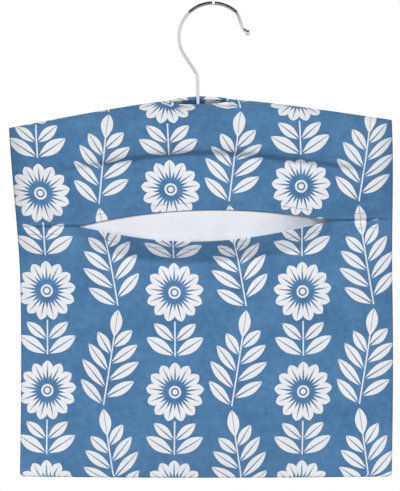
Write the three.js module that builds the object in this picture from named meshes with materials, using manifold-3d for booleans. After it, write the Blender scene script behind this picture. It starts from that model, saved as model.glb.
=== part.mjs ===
// Peg bag: a lined cotton bag that hangs on a wooden coat hanger, with a mouth slit across its front.
// Millimetres, +Z up, +X to the right as seen from the front, and the front faces -Y.
// The origin is the underside of the hook's crown, where the washing line lies.

import Module from "manifold-3d";
import * as THREE from "three";
import { mergeVertices } from "three/addons/utils/BufferGeometryUtils.js";

// Clearance between pieces that touch.
const gap = 0.3;

// Hook: chromed wire bent in one plane. Angles are in degrees, radii run to the middle of the wire.
const wireDiameter = 3.4;
const crownRadius = 31;
const heelAngle = 213; // where the crown's arc meets the heel, counted from +X
const tipAngle = 48; // where the crown's arc meets the tip
const shankOffset = 14.8; // the shank stands this far left of the crown's middle
const heelBendRadius = 8;
const tipBendRadius = 10;
const tipBendTurn = 31;
const tipLength = 10.2;
const flareRadius = 5;
const flareTurn = 34;
const flareLength = 1.5;
const headDiameter = 6.4;
const headThickness = 1.4;

// Bead on the tip, bored to take a thin spigot at the end of the wire.
const beadDiameter = 5.2;
const spigotDiameter = 2;
const spigotLength = 3;

// Washer and ferrule that the shank turns in.
const washerDiameter = 9;
const washerThickness = 0.8;
const ferruleDiameter = 6.6;
const flangeDiameter = 9;
const flangeThickness = 1;

// Hanger bar.
const hangerHalfLength = 147;
const hangerThickness = 11;
const armDepth = 36; // height of the bar at its middle
const armTipDepth = 32;
const armTipRound = 14;
const spotfaceDepth = 3.5; // flat sunk in the bar's round top for the ferrule's flange
const pocketDepth = 5; // hollow under the bar for the washer and the head
const seatEase = 0.7; // between the bar's top and the lining that rests on it
const hangerSlack = 1.2; // free play between the bar and the lining, front and back

// Outline of the bag, seen from the front.
const ridgeDrop = 85.3; // from the washing line down to the middle of the ridge
const bagHeight = 345.5;
const shoulderHalfWidth = 175;
const bottomHalfWidth = 170;
const shoulderSlope = 0.18;
const shoulderFlat = 55; // how far the ridge stays nearly level on each side of the hook
const taperStart = 23; // below the middle of the ridge
const taperLength = 150;

// Mouth across the front.
const mouthDrop = 114.7; // from the middle of the ridge down to the corners of the mouth
const mouthHalfLength = 116;
const upperLipRise = 12.8;
const lowerLipSag = 15.5;
const yokeFlare = 11; // how far the yoke's edge stands forward at its middle
const lipFlare = 20;
const lipReach = 42; // how far below the corners the flare of the lower lip dies out
const frontBelly = 11;

// Gap in the ridge seam for the hook.
const slotHalfLength = 30.5;
const frontDip = 5; // the front edge hangs this much lower there
const slotTrim = 0.8; // the other edges stop this far below their ridge, clear of the shank

// Cloth, and the seams between its layers.
const clothThickness = 0.6;
const turnedThickness = 0.6; // turned-in edges, between the cloth and its lining
const liningThickness = 0.4;
const seamThickness = 0.8;
const seamWidth = 6;
const seamStart = 3; // from the bag's outline to the stitched line
const hemEdge = 0.5;
const liningEase = 0.6; // the lining stops this far short of the seam allowances
const sideReach = 20; // how far in from a seam the cloth reaches its full depth
const bottomReach = 45;
const ridgeReach = 8;

// Finishes.
const finishes = {
  chrome: { color: 0xd5d7da, roughness: 0.12, metalness: 1 },
  steel: { color: 0xa8abae, roughness: 0.35, metalness: 1 },
  beech: { color: 0xcaa577, roughness: 0.55, metalness: 0 },
  printedCotton: { color: 0x537ca4, roughness: 0.9, metalness: 0 },
  liningCotton: { color: 0xe6e8f0, roughness: 0.9, metalness: 0 },
  seamCotton: { color: 0x6b8db0, roughness: 0.9, metalness: 0 },
};

// Facet counts.
const wireSides = 10;
const wireSteps = 68;
const roundSides = 24;
const armSpans = 12;
const armSectionPoints = 14;
const armTipSteps = [0.4, 0.7, 0.9, 0.97]; // shares of the round at the tip of an arm
const seamSteps = [0, 0.08, 0.3, 1]; // shares of the reach of a side or bottom seam
const ridgeSteps = [0, 0.04, 0.12, 0.3, 0.6, 1]; // shares of the reach of the ridge
const backSpans = 8;
const yokeSpans = 4;
const frontSpans = 6;
const sideSpans = 12;
const ridgeSpans = 6;
const mouthSteps = [0, 1 / 3, 2 / 3, 1]; // from the hook's gap to a corner of the mouth

// Levels and layers worked out from the sizes above.
const wireRadius = wireDiameter / 2;
const ridgeTop = -ridgeDrop;
const bottomZ = ridgeTop - bagHeight;
const mouthZ = ridgeTop - mouthDrop;
const taperTop = ridgeTop - taperStart;
const turnedSkin = clothThickness + gap;
const liningSkin = turnedSkin + turnedThickness + gap;
const liningInset = seamStart + seamWidth + liningEase;
const clothDepth = hangerThickness / 2 + hangerSlack + liningSkin + liningThickness;
const hangerInset = liningInset + liningThickness + seatEase;
const barTop = ridgeTop - hangerInset;
const barBottom = barTop - armDepth;
const pocketCeiling = barBottom + pocketDepth;
const washerBottom = pocketCeiling - gap - washerThickness;
const headTop = washerBottom - gap;
const shankBottom = headTop - headThickness;

const radians = THREE.MathUtils.degToRad;
const lerp = THREE.MathUtils.lerp;
const ease = (t) => THREE.MathUtils.smoothstep(t, 0, 1);
const countUp = (count) => [...Array(count).keys()];
const spread = (from, to, spans) => countUp(spans + 1).map((k) => lerp(from, to, k / spans));
const mirrored = (half) => [...half.slice(1).reverse().map((x) => -x), ...half];
const part = new THREE.Group();
const hung = new THREE.Group(); // the hanger and the bag, with the shank as their middle line
hung.position.x = -shankOffset;
part.add(hung);

function addPiece(parent, name, geometry, finish) {
  const mesh = new THREE.Mesh(geometry, new THREE.MeshStandardMaterial(finishes[finish]));
  mesh.name = name;
  parent.add(mesh);
  return mesh;
}

// Solids: a signed volume turns faces outward, and a loft joins like loops of points.

function facedOut(points, triangles) {
  const corners = (face) => face.map((index) => points[index]);
  const volume = triangles
    .map((face) => corners(face))
    .reduce((sum, [a, b, c]) => sum + a.dot(b.clone().cross(c)), 0);
  const faces = volume < 0 ? triangles.map(([a, b, c]) => [a, c, b]) : triangles;
  const geometry = new THREE.BufferGeometry().setFromPoints(points);
  geometry.setIndex(faces.flat());
  geometry.computeVertexNormals();
  return geometry;
}

function loft(loops) {
  const count = loops[0].length;
  const last = (loops.length - 1) * count;
  const triangles = [];
  for (let ring = 0; ring < last; ring += count) {
    for (let k = 0; k < count; k += 1) {
      const next = (k + 1) % count;
      triangles.push([ring + k, ring + next, ring + count + next]);
      triangles.push([ring + k, ring + count + next, ring + count + k]);
    }
  }
  for (let k = 1; k < count - 1; k += 1) {
    triangles.push([0, k + 1, k]);
    triangles.push([last, last + k, last + k + 1]);
  }
  return facedOut(loops.flat(), triangles);
}

const wasm = await Module();
wasm.setup();
const weldTolerance = 1e-4;

function toManifold(geometry) {
  const bare = geometry.clone();
  bare.deleteAttribute("normal");
  bare.deleteAttribute("uv");
  const merged = mergeVertices(bare, weldTolerance);
  const vertProperties = new Float32Array(merged.attributes.position.array);
  const triVerts = new Uint32Array(merged.index.array);
  return new wasm.Manifold(new wasm.Mesh({ numProp: 3, vertProperties, triVerts }));
}

function fromManifold(solid) {
  const mesh = solid.getMesh();
  const geometry = new THREE.BufferGeometry();
  geometry.setAttribute("position", new THREE.BufferAttribute(mesh.vertProperties, 3));
  geometry.setIndex(new THREE.BufferAttribute(mesh.triVerts, 1));
  geometry.computeVertexNormals();
  return geometry;
}

function uprightCylinder(radius, bottom, top) {
  const geometry = new THREE.CylinderGeometry(radius, radius, top - bottom, roundSides);
  geometry.rotateX(Math.PI / 2);
  geometry.translate(0, 0, (top + bottom) / 2);
  return geometry;
}

function uprightLathe(profile) {
  const geometry = new THREE.LatheGeometry(profile.map(([r, z]) => new THREE.Vector2(r, z)), roundSides);
  geometry.rotateX(Math.PI / 2);
  return geometry;
}

// Hook: straight feeds and bends to a radius, as the wire is formed, from the shank's foot to the tip.

class PlaneWire extends THREE.Curve {
  constructor(path) {
    super();
    this.path = path;
  }

  getPoint(t, target = new THREE.Vector3()) {
    const point = this.path.getPoint(t);
    return target.set(point.x, 0, point.y);
  }
}

const polar = (length, angle) =>
  new THREE.Vector2(Math.cos(radians(angle)), Math.sin(radians(angle))).multiplyScalar(length);

function bentWire(start, heading, forming) {
  const path = new THREE.Path().moveTo(start.x, start.y);
  let at = start;
  let angle = heading;
  for (const { feed, radius, turn } of forming) {
    at = at.clone().add(polar(feed, angle));
    path.lineTo(at.x, at.y);
    if (turn) {
      const side = Math.sign(turn);
      const centre = at.clone().add(polar(radius, angle + side * 90));
      const from = angle - side * 90;
      path.absarc(centre.x, centre.y, radius, radians(from), radians(from + turn), side < 0);
      at = centre.clone().add(polar(radius, from + turn));
      angle += turn;
    }
  }
  return { path, end: at, heading: angle };
}

const crownCentre = new THREE.Vector2(0, wireRadius - crownRadius);
const heelPoint = crownCentre.clone().add(polar(crownRadius, heelAngle));
const heelTurn = heelAngle - 180;
const heelRun = (heelPoint.x + shankOffset) / polar(1, heelAngle - 90).x;
const heelCorner = heelPoint.clone().sub(polar(heelRun, heelAngle - 90));
const heelTangent = heelBendRadius * Math.tan(radians(heelTurn / 2));
const shankFoot = new THREE.Vector2(-shankOffset, shankBottom);
const wire = bentWire(shankFoot, 90, [
  { feed: heelCorner.y - heelTangent - shankBottom, radius: heelBendRadius, turn: heelTurn },
  { feed: heelRun - heelTangent, radius: crownRadius, turn: tipAngle - heelAngle },
  { feed: 0, radius: tipBendRadius, turn: -tipBendTurn },
  { feed: tipLength, radius: flareRadius, turn: flareTurn },
  { feed: flareLength },
]);
const tipDirection = polar(1, wire.heading);
const alongTip = new THREE.Quaternion().setFromUnitVectors(
  new THREE.Vector3(0, 0, 1),
  new THREE.Vector3(tipDirection.x, 0, tipDirection.y),
);
const wireEnd = new THREE.Vector3(wire.end.x, 0, wire.end.y);

const wireSection = new THREE.Shape().absarc(0, 0, wireRadius, 0, 2 * Math.PI);
const wireBody = new THREE.ExtrudeGeometry(wireSection, {
  steps: wireSteps,
  curveSegments: wireSides / 2,
  extrudePath: new PlaneWire(wire.path),
});
const head = uprightCylinder(headDiameter / 2, shankBottom, headTop).translate(-shankOffset, 0, 0);
const spigot = uprightCylinder(spigotDiameter / 2, -wireRadius, spigotLength)
  .applyQuaternion(alongTip)
  .translate(...wireEnd);
const hookSolid = toManifold(wireBody).add(toManifold(head)).add(toManifold(spigot));
addPiece(part, "hook", fromManifold(hookSolid), "chrome");

// Bead: a ball with a flat that meets the wire's end and a blind bore over the spigot.

const beadRadius = beadDiameter / 2;
const beadFlat = -Math.sqrt(beadRadius ** 2 - wireRadius ** 2);
const boreRadius = spigotDiameter / 2 + gap;
const boreEnd = beadFlat + spigotLength; // a gap past the spigot, which starts a gap before the flat
const ballArc = new THREE.Path()
  .absarc(0, 0, beadRadius, Math.atan2(beadFlat, wireRadius), Math.PI / 2)
  .getPoints(roundSides / 4);
const beadProfile = [[0, boreEnd], [boreRadius, boreEnd], [boreRadius, beadFlat]];
for (const point of ballArc.slice(0, -1)) {
  beadProfile.push([point.x, point.y]);
}
beadProfile.push([0, beadRadius]);
const bead = addPiece(part, "hook_tip_ball", uprightLathe(beadProfile), "chrome");
bead.quaternion.copy(alongTip);
bead.position.set(0, 0, gap - beadFlat).applyQuaternion(alongTip).add(wireEnd);

// Washer between the peened head and the hanger.

const shankBore = wireRadius + gap;
const washerTop = washerBottom + washerThickness;
const washerProfile = [
  [shankBore, washerBottom],
  [washerDiameter / 2, washerBottom],
  [washerDiameter / 2, washerTop],
  [shankBore, washerTop],
  [shankBore, washerBottom],
];
addPiece(hung, "retaining_washer", uprightLathe(washerProfile), "steel");

// Ferrule: a bush down through the bar with a flange on the spotface.

const flangeBottom = barTop - spotfaceDepth + gap;
const flangeTop = flangeBottom + flangeThickness;
const ferruleProfile = [
  [shankBore, pocketCeiling],
  [ferruleDiameter / 2, pocketCeiling],
  [ferruleDiameter / 2, flangeBottom],
  [flangeDiameter / 2, flangeBottom],
  [flangeDiameter / 2, flangeTop],
  [shankBore, flangeTop],
  [shankBore, pocketCeiling],
];
addPiece(hung, "swivel_ferrule", uprightLathe(ferruleProfile), "steel");

// Outline of the bag: the ridge, the sides and the two lips of the mouth.

const ridgeZ = (x) => ridgeTop - shoulderSlope * (Math.hypot(x, shoulderFlat) - shoulderFlat);
const halfWidth = (z) => lerp(shoulderHalfWidth, bottomHalfWidth, ease((taperTop - z) / taperLength));
const mouthArch = (x) => 1 - (x / mouthHalfLength) ** 2;
const upperLip = (x) => mouthZ + Math.max(gap / 2, upperLipRise * mouthArch(x));
const lowerLip = (x) => mouthZ - Math.max(gap / 2, lowerLipSag * mouthArch(x));

// Hanger bar: round-edged sections along the arched ridge, bored for the ferrule from top to bottom.

function barSection(x) {
  const pastArm = Math.max(0, Math.abs(x) - (hangerHalfLength - armTipRound)) / armTipRound;
  const depth = lerp(armDepth, armTipDepth, Math.abs(x) / hangerHalfLength);
  const middle = ridgeZ(x) - hangerInset - depth / 2;
  const halfHeight = (depth / 2) * Math.sqrt(1 - pastArm ** 2);
  const round = Math.min(hangerThickness / 2, halfHeight);
  const half = armSectionPoints / 2;
  const loop = [];
  for (let k = 0; k < armSectionPoints; k += 1) {
    const top = k < half;
    const angle = (Math.PI * (k % half)) / (half - 1) + (top ? 0 : Math.PI);
    const centre = middle + (top ? 1 : -1) * (halfHeight - round);
    loop.push(new THREE.Vector3(x, round * Math.cos(angle), centre + round * Math.sin(angle)));
  }
  return loop;
}

const armStations = spread(0, hangerHalfLength - armTipRound, armSpans / 2);
for (const share of armTipSteps) {
  armStations.push(hangerHalfLength - armTipRound * (1 - share));
}
const barCuts = [
  uprightCylinder(ferruleDiameter / 2 + gap, barBottom - gap, barTop + gap),
  uprightCylinder(flangeDiameter / 2 + gap, barTop - spotfaceDepth, barTop + gap),
  uprightCylinder(washerDiameter / 2 + gap, barBottom - gap, pocketCeiling),
];
let bar = toManifold(loft(mirrored(armStations).map(barSection)));
for (const cut of barCuts) {
  bar = bar.subtract(toManifold(cut));
}
addPiece(hung, "hanger_bar", fromManifold(bar), "beech");

// Depth of the cloth before and behind the hanger's middle plane, and how it closes towards the seams.

function yokeDepth(x, z) {
  const below = (ridgeZ(x) - hangerInset - armDepth - z) / (mouthDrop - hangerInset - armDepth);
  return clothDepth + yokeFlare * Math.max(0, mouthArch(x)) ** 2 * ease(below);
}

function frontDepth(x, z) {
  const across = Math.max(0, 1 - (x / halfWidth(z)) ** 2) ** 2;
  const upward = THREE.MathUtils.clamp((z - bottomZ) / (mouthZ - bottomZ), 0, 1);
  const belly = frontBelly * across * Math.sin(Math.PI * upward);
  const lip = lipFlare * Math.max(0, mouthArch(x)) ** 2 * ease((z - mouthZ + lipReach) / lipReach);
  return clothDepth + belly + lip;
}

function closing(distance, reach) {
  const share = THREE.MathUtils.clamp(distance / reach, 0, 1);
  return share * (2 - share);
}

// A layer lies inset from the bag's outline and skin deep under its outer face.
const clothLayers = [{ inset: 0, skin: 0 }, { inset: clothThickness, skin: clothThickness }];
const turnedLayers = [
  { inset: turnedSkin, skin: turnedSkin },
  { inset: turnedSkin + turnedThickness, skin: turnedSkin + turnedThickness },
];
const liningLayers = [
  { inset: liningInset, skin: liningSkin },
  { inset: liningInset + liningThickness, skin: liningSkin + liningThickness },
];

function clothPoint(panel, s, z, { inset, skin }) {
  const width = halfWidth(z) - inset;
  const x = s * width;
  const sides = closing(width - Math.abs(x), sideReach);
  const bottom = closing(z - bottomZ - inset, bottomReach);
  const ridge = Math.sqrt(closing(ridgeZ(x) - inset - z, ridgeReach));
  const depth = (panel.depth(x, z) - skin) * sides * bottom * ridge;
  return new THREE.Vector3(x, panel.facing * Math.max(depth, gap / 2), z);
}

// A sheet of cloth as a solid: an outer and an inner face over one grid, joined all round their edges.

function clothSolid(panel, columns, heightsAt, layers) {
  const faces = layers.map((layer) =>
    columns.map((s) => heightsAt(s, layer).map((z) => clothPoint(panel, s, z, layer))),
  );
  const rows = faces[0][0].length;
  const size = columns.length * rows;
  const at = (layer, column, row) => layer * size + column * rows + row;
  const triangles = [];
  for (let c = 0; c < columns.length - 1; c += 1) {
    for (let r = 0; r < rows - 1; r += 1) {
      const outer = [at(0, c, r), at(0, c + 1, r), at(0, c + 1, r + 1), at(0, c, r + 1)];
      const inner = outer.map((index) => index + size);
      triangles.push([outer[0], outer[1], outer[2]], [outer[0], outer[2], outer[3]]);
      triangles.push([inner[0], inner[2], inner[1]], [inner[0], inner[3], inner[2]]);
    }
  }
  const lastColumn = columns.length - 1;
  const lastRow = rows - 1;
  const rim = [
    ...countUp(lastColumn).map((c) => [c, 0]),
    ...countUp(lastRow).map((r) => [lastColumn, r]),
    ...countUp(lastColumn).map((c) => [lastColumn - c, lastRow]),
    ...countUp(lastRow).map((r) => [0, lastRow - r]),
  ];
  rim.forEach(([column, row], k) => {
    const [nextColumn, nextRow] = rim[(k + 1) % rim.length];
    const a = at(0, column, row);
    const b = at(0, nextColumn, nextRow);
    triangles.push([b, a, a + size], [b, a + size, b + size]);
  });
  return facedOut(faces.flat(2), triangles);
}

// Columns of the grid as shares of the half width, closer together towards the sides.

const mouthHalfWidth = halfWidth(mouthZ);
const mouthColumns = [0, slotHalfLength / 2];
for (const share of mouthSteps) {
  mouthColumns.push(lerp(slotHalfLength, mouthHalfLength, share));
}
const sideColumns = seamSteps.map((share) => mouthHalfWidth - sideReach * share).reverse();
const columns = mirrored([...mouthColumns, ...sideColumns].map((x) => x / mouthHalfWidth));

// Rows of the grid: close ones up from the lower edge and down from the upper edge, and even spans between.

const lipOffsets = [0, hemEdge, hemEdge + seamWidth];
const bottomOffsets = seamSteps.map((share) => share * bottomReach);
const ridgeOffsets = ridgeSteps.map((share) => share * ridgeReach);

function rowHeights(low, lowOffsets, high, highOffsets, spans) {
  const lower = lowOffsets.map((offset) => low + offset);
  const upper = highOffsets.map((offset) => high - offset).reverse();
  const middle = spread(lower.at(-1), upper[0], spans).slice(1, -1);
  return [...lower, ...middle, ...upper];
}

// Panels: where each one's grid begins and ends, and the notch that its top edge has at the hook's gap.

const notch = (x, depth) => depth * Math.max(0, 1 - (x / slotHalfLength) ** 2) ** 2;
const atMouth = (s) => s * mouthHalfWidth;
const ridgeEdge = (s, inset, depth) => {
  const x = s * (shoulderHalfWidth - inset);
  return ridgeZ(x) - inset - notch(x, depth);
};
const back = { facing: 1, depth: () => clothDepth };
const yoke = { facing: -1, depth: yokeDepth };
const front = { facing: -1, depth: frontDepth };

const backRows = (s, { inset }) =>
  rowHeights(bottomZ + inset, bottomOffsets, ridgeEdge(s, inset, slotTrim), ridgeOffsets, backSpans);
const yokeRows = (dip) => (s, { inset }) =>
  rowHeights(upperLip(atMouth(s)), lipOffsets, ridgeEdge(s, inset, dip), ridgeOffsets, yokeSpans);
const frontRows = (s, { inset }) =>
  rowHeights(bottomZ + inset, bottomOffsets, lowerLip(atMouth(s)), lipOffsets, frontSpans);

addPiece(hung, "back_panel", clothSolid(back, columns, backRows, clothLayers), "printedCotton");
addPiece(hung, "front_yoke", clothSolid(yoke, columns, yokeRows(frontDip), clothLayers), "printedCotton");
addPiece(hung, "front_panel", clothSolid(front, columns, frontRows, clothLayers), "printedCotton");
addPiece(hung, "back_lining", clothSolid(back, columns, backRows, liningLayers), "liningCotton");
addPiece(hung, "yoke_lining", clothSolid(yoke, columns, yokeRows(slotTrim), liningLayers), "liningCotton");
addPiece(hung, "front_lining", clothSolid(front, columns, frontRows, liningLayers), "liningCotton");

// Hems: the turned-in edges of the mouth, between the cloth and its lining.

const hemColumns = mirrored(
  [...mouthColumns.slice(0, -1), mouthHalfLength - seamStart].map((x) => x / mouthHalfWidth),
);
const yokeHemRows = (s) => lipOffsets.slice(1).map((offset) => upperLip(atMouth(s)) + offset);
const frontHemRows = (s) => lipOffsets.slice(1).map((offset) => lowerLip(atMouth(s)) - offset).reverse();
addPiece(hung, "yoke_hem", clothSolid(yoke, hemColumns, yokeHemRows, turnedLayers), "seamCotton");
addPiece(hung, "front_hem", clothSolid(front, hemColumns, frontHemRows, turnedLayers), "seamCotton");

// Join seams: the yoke's allowance beside the mouth, pressed up behind the yoke.

const joinEnds = [mouthHalfLength + seamStart, mouthHalfWidth - sideReach];
const joinColumns = joinEnds.map((x) => x / mouthHalfWidth);
const joinRows = () => [mouthZ + hemEdge, mouthZ + hemEdge + seamWidth];
for (const [name, side] of [["left_join_seam", -1], ["right_join_seam", 1]]) {
  const shares = joinColumns.map((s) => side * s).sort((a, b) => a - b);
  addPiece(hung, name, clothSolid(yoke, shares, joinRows, turnedLayers), "seamCotton");
}

// Gap facings: the turned-in edges of the gap in the ridge that the shank comes out of.

const facingColumns = mirrored([0, slotHalfLength / 2, slotHalfLength].map((x) => x / mouthHalfWidth));
const facingRows = (dip) => (s, { inset }) =>
  ridgeOffsets.slice(0, -1).map((offset) => ridgeEdge(s, inset, dip) - offset).reverse();
const facing = (panel, dip) => clothSolid(panel, facingColumns, facingRows(dip), turnedLayers);
addPiece(hung, "front_gap_facing", facing(yoke, frontDip), "seamCotton");
addPiece(hung, "back_gap_facing", facing(back, slotTrim), "seamCotton");

// Seam allowances in the middle plane, between the outer cloth and the edge of the lining.

function flatStrip(stations, corners) {
  return loft(
    stations.map((station) => {
      const [[x0, z0], [x1, z1]] = corners(station);
      const half = seamThickness / 2;
      return [
        new THREE.Vector3(x0, -half, z0),
        new THREE.Vector3(x1, -half, z1),
        new THREE.Vector3(x1, half, z1),
        new THREE.Vector3(x0, half, z0),
      ];
    }),
  );
}

const seamEnd = seamStart + seamWidth;
const sideStations = spread(bottomZ + seamEnd + seamWidth, taperTop - seamEnd, sideSpans);
const ridgeStations = spread(slotHalfLength + gap, shoulderHalfWidth - sideReach, ridgeSpans);
for (const [name, side] of [["left", -1], ["right", 1]]) {
  const sideCorners = (z) => [seamEnd, seamStart].map((inset) => [side * (halfWidth(z) - inset), z]);
  const ridgeCorners = (x) => [seamEnd, seamStart].map((inset) => [side * x, ridgeZ(x) - inset]);
  addPiece(hung, `${name}_side_seam`, flatStrip(sideStations, sideCorners), "seamCotton");
  addPiece(hung, `${name}_top_seam`, flatStrip(ridgeStations, ridgeCorners), "seamCotton");
}
const bottomStations = [sideReach - bottomHalfWidth, bottomHalfWidth - sideReach];
const bottomCorners = (x) => [seamStart, seamEnd].map((inset) => [x, bottomZ + inset]);
addPiece(hung, "bottom_seam", flatStrip(bottomStations, bottomCorners), "seamCotton");

export default part;
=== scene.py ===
"""Peg bag: a lined cotton bag that hangs on a wooden coat hanger, with a mouth slit across its front.

Metres, +Z up, +X to the right as seen from the front, and the front faces -Y. The origin is the
underside of the hook's crown, where the washing line lies.
"""

import cmath
import math

import bpy
import numpy as np
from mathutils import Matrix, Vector


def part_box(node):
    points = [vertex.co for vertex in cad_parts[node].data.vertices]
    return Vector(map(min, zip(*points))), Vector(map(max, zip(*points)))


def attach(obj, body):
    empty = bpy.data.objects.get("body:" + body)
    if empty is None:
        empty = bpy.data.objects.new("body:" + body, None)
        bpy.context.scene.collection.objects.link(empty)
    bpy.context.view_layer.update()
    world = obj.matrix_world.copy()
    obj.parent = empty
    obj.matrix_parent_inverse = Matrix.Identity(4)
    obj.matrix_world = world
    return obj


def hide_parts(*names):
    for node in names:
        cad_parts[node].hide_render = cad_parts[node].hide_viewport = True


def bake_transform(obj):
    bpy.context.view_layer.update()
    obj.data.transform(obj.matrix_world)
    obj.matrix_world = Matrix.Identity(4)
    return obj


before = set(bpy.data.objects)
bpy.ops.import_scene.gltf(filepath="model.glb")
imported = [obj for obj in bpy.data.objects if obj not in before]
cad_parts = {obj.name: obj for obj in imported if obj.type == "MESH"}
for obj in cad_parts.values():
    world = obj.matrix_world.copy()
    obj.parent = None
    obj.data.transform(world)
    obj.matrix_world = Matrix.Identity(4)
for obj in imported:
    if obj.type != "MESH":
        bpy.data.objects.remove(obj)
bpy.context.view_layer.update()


# Hook: one length of steel wire, bent round formers in one plane and chrome plated.
# Its foot is peened over a washer under the hanger bar, so that it turns but can't pull out.

wire_radius = 0.0017
crown_radius = 0.031  # bends are measured to the middle of the wire
heel_angle = math.radians(213)
tip_angle = math.radians(48)
heel_bend_radius = 0.008
tip_bend_radius = 0.010
tip_bend_turn = math.radians(31)
tip_length = 0.0102
flare_radius = 0.005
flare_turn = math.radians(34)
flare_length = 0.0015
cut_end_turn = 0.001  # the cut end is all but straight
peened_radius = 0.0032
peened_height = 0.0014
peened_flat = 0.3  # share of the head's round foot that is hammered flat
wire_step = 0.0007
wire_sides = 20

foot_low, foot_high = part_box("retaining_washer")
shank_x = (foot_low.x + foot_high.x) / 2
shank_foot = complex(shank_x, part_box("hook")[0].z)


class Field:
    """A value that varies over a surface. Arithmetic on fields adds Math nodes to their tree."""

    def __init__(self, tree, socket):
        self.tree = tree
        self.socket = socket

    def math(self, operation, *terms, clamp=False):
        settings = {"operation": operation, "use_clamp": clamp}
        return self.tree.node("ShaderNodeMath", settings, dict(enumerate(terms)))

    def output(self, key):
        return Field(self.tree, self.socket.node.outputs[key])

    def __add__(self, other):
        return self.math("ADD", self, other)

    __radd__ = __add__

    def __sub__(self, other):
        return self.math("SUBTRACT", self, other)

    def __rsub__(self, other):
        return self.math("SUBTRACT", other, self)

    def __mul__(self, other):
        return self.math("MULTIPLY", self, other)

    __rmul__ = __mul__

    def __truediv__(self, other):
        return self.math("DIVIDE", self, other)

    def __pow__(self, other):
        return self.math("POWER", self, other)

    def __mod__(self, other):
        return self.math("FLOORED_MODULO", self, other)

    def __abs__(self):
        return self.math("ABSOLUTE", self)

    def sine(self):
        return self.math("SINE", self)

    def whole(self):
        return self.math("FLOOR", self)

    def limited(self):
        return self.math("ADD", self, 0.0, clamp=True)

    def joined(self, other):
        return self.math("MAXIMUM", self, other)


class NodeTree:
    """The nodes of a material or of the world. Plain values go on sockets, and fields are linked."""

    def __init__(self, owner):
        owner.use_nodes = True
        self.owner = owner

    def node(self, kind, settings, sockets, output=0):
        made = self.owner.node_tree.nodes.new(kind)
        for name, value in settings.items():
            setattr(made, name, value)
        self.fill(made, sockets)
        return Field(self, made.outputs[output])

    def fill(self, node, sockets):
        for key, value in sockets.items():
            if isinstance(value, Field):
                self.owner.node_tree.links.new(value.socket, node.inputs[key])
            else:
                node.inputs[key].default_value = value


def linear(colour):
    """A colour as a screen shows it, from 0 to 255, in the linear light that shaders work in."""
    levels = [level / 255 for level in colour]
    return [v / 12.92 if v <= 0.04045 else ((v + 0.055) / 1.055) ** 2.4 for v in levels] + [1.0]


class Finish(NodeTree):
    """One material: plain values on its shader's sockets, and nodes for what varies over the surface."""

    def __init__(self, name, plain):
        super().__init__(bpy.data.materials.new(name))
        self.set(plain)

    def set(self, inputs):
        self.fill(self.owner.node_tree.nodes["Principled BSDF"], inputs)

    def spot(self):
        """The place on a piece, in metres."""
        return self.node("ShaderNodeTexCoord", {}, {}, output="Object")

    def stretched(self, place, scale):
        return self.node("ShaderNodeVectorMath", {"operation": "MULTIPLY"}, {0: place, 1: scale})

    def noise(self, place, scale=1.0, detail=2.0):
        sockets = {"Vector": place, "Scale": scale, "Detail": detail}
        return self.node("ShaderNodeTexNoise", {}, sockets)

    def mix(self, share, *colours):
        """A blend of two colours, which are fields or as a screen shows them."""
        first, second = [c if isinstance(c, Field) else linear(c) for c in colours]
        sockets = {0: share, 6: first, 7: second}
        return self.node("ShaderNodeMix", {"data_type": "RGBA"}, sockets, output=2)

    def bump(self, height, distance):
        return self.node("ShaderNodeBump", {}, {"Height": height, "Distance": distance})

    def on(self, piece):
        piece.data.materials.clear()
        piece.data.materials.append(self.owner)


def bent_wire(start, heading, forming):
    """Complex points in the XZ plane along a wire that is fed straight and bent to radii by turns."""
    route = [start]
    ahead = cmath.exp(1j * heading)
    for feed, radius, turn in forming:
        steps = math.ceil(feed / wire_step)
        route.extend(route[-1] + ahead * feed * np.arange(1, steps + 1) / steps)
        steps = math.ceil(radius * abs(turn) / wire_step)
        spoke = -1j * math.copysign(radius, turn) * ahead
        centre = route[-1] - spoke
        route.extend(centre + spoke * np.exp(1j * turn * np.arange(1, steps + 1) / steps))
        ahead *= cmath.exp(1j * turn)
    return np.array(route)


def wire_rings(route, radii):
    """Rings of points round a route in the XZ plane."""
    ahead = np.gradient(route)
    aside = 1j * ahead / abs(ahead)
    angle = np.arange(wire_sides) * 2 * math.pi / wire_sides
    flat = route[:, None] + aside[:, None] * np.cos(angle) * radii[:, None]
    deep = np.sin(angle) * radii[:, None]
    return np.stack([flat.real, deep, flat.imag], axis=-1)


def new_piece(name, points, faces):
    """A smooth mesh with these points and faces, in the scene."""
    mesh = bpy.data.meshes.new(name)
    mesh.from_pydata([tuple(p) for p in points], [], faces)
    mesh.shade_smooth()
    piece = bpy.data.objects.new(name, mesh)
    bpy.context.scene.collection.objects.link(piece)
    return piece


def lofted(name, tubes):
    """One piece of tubes, each an array of rings of points, closed at both ends."""
    points = []
    faces = []
    for rings in tubes:
        count, sides = rings.shape[:2]
        start = len(points)
        points.extend(rings.reshape(-1, 3))
        for ring in range(start, start + (count - 1) * sides, sides):
            for k in range(sides):
                after = (k + 1) % sides
                faces.append((ring + k, ring + sides + k, ring + sides + after, ring + after))
        faces.append(tuple(range(start, start + sides)))
        faces.append(tuple(reversed(range(len(points) - sides, len(points)))))
    return new_piece(name, points, faces)


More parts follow.
